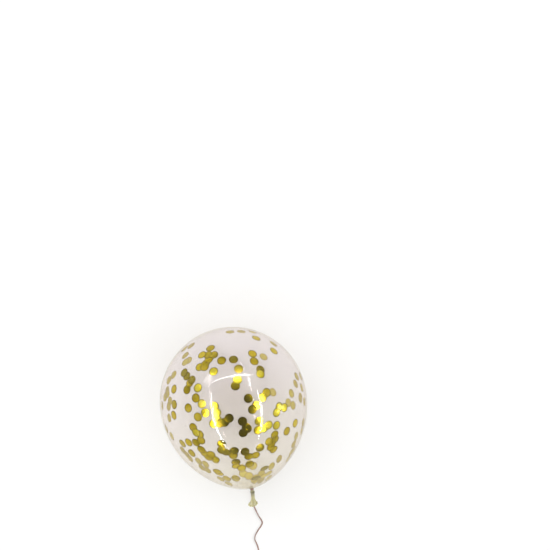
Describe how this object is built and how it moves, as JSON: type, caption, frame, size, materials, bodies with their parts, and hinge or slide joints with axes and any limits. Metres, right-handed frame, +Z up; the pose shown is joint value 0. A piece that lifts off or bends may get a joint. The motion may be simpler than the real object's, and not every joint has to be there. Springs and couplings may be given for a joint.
{
  "type": "confetti balloon",
  "caption": "Clear round latex balloon with gold foil confetti inside, knotted at the neck, lying on its side with a narrow ribbon tied on.",
  "frame": {"origin": "on the floor, under the middle of the balloon's own box, measured without the free ribbon", "axes": "+Z up, +Y towards the crown, so the neck and the ribbon point towards -Y and the balloon is even across X"},
  "size_m": [0.28, 0.5417, 0.2816],
  "materials": {
    "clear_latex": "clear glossy latex film, faintly milky, pale yellow where it is thick",
    "ribbon": "narrow satin ribbon, rose brown",
    "gold_foil": "thin metallised foil discs, bright gold"
  },
  "bodies": {
    "root": {"balloon": "clear_latex", "ribbon_knot": "ribbon", "ribbon": "ribbon", "ribbon_coil": "ribbon"}
  },
  "joints": []
}
